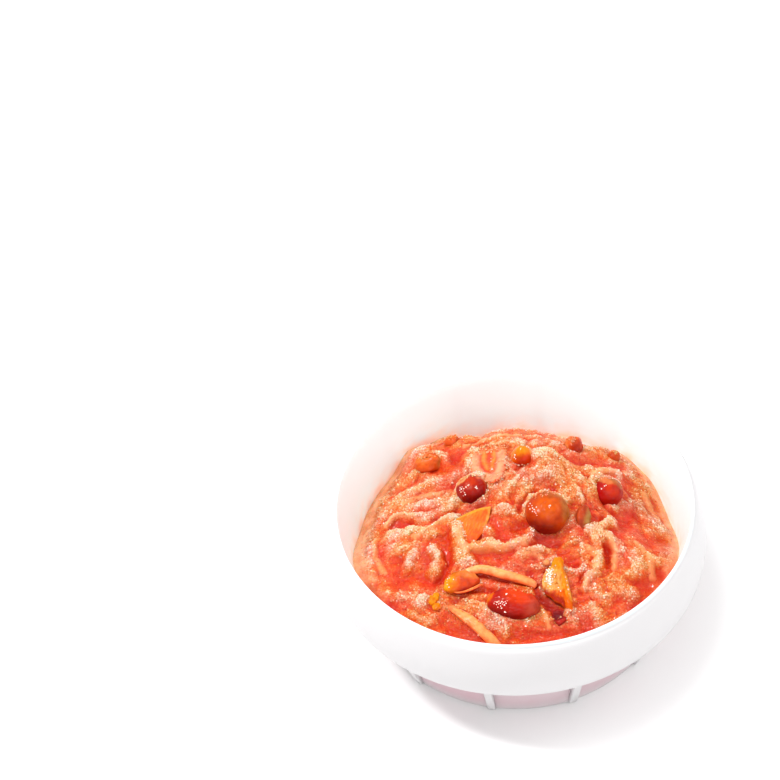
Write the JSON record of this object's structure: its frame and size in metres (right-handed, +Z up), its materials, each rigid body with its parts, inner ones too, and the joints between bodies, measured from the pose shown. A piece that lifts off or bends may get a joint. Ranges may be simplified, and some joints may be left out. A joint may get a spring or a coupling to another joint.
{
  "type": "cup of dressed mentaiko with nameko mushrooms",
  "caption": "Round white plastic cup with a flared skirt and gusset ribs, filled with a heap of spicy cod roe mixed with glossy nameko mushroom caps, slices and stems",
  "frame": {"origin": "middle of the cup's foot, on the surface it stands on", "axes": "+Z up, -Y towards the viewer (front), +X to the viewer's right"},
  "size_m": [0.0974, 0.0974, 0.04],
  "materials": {
    "white_plastic": "semi-gloss white polypropylene, slightly translucent",
    "roe_paste": "wet granular roe paste",
    "cap_red": "dark red-brown slippery mushroom skin",
    "cap_orange": "orange-brown slippery mushroom skin",
    "cap_amber": "amber mushroom flesh and skin, wet",
    "stem_pale": "pale amber mushroom stem, wet"
  },
  "bodies": {
    "root": {"cup": "white_plastic", "mentaiko": "roe_paste", "cap_center": "cap_orange", "cap_left": "cap_red", "cap_top": "cap_amber", "cap_right": "cap_red", "cap_front": "cap_red", "cap_small_right": "cap_red", "cap_back": "cap_red", "cap_back_right": "cap_orange", "cap_back_left": "cap_orange", "cap_far_back": "cap_orange", "cap_wedge": "cap_amber", "cap_slice": "cap_orange", "mushroom_left": "cap_amber", "stem_front": "stem_pale", "stem_bent": "stem_pale", "cap_corner_front": "cap_red"}
  },
  "joints": []
}
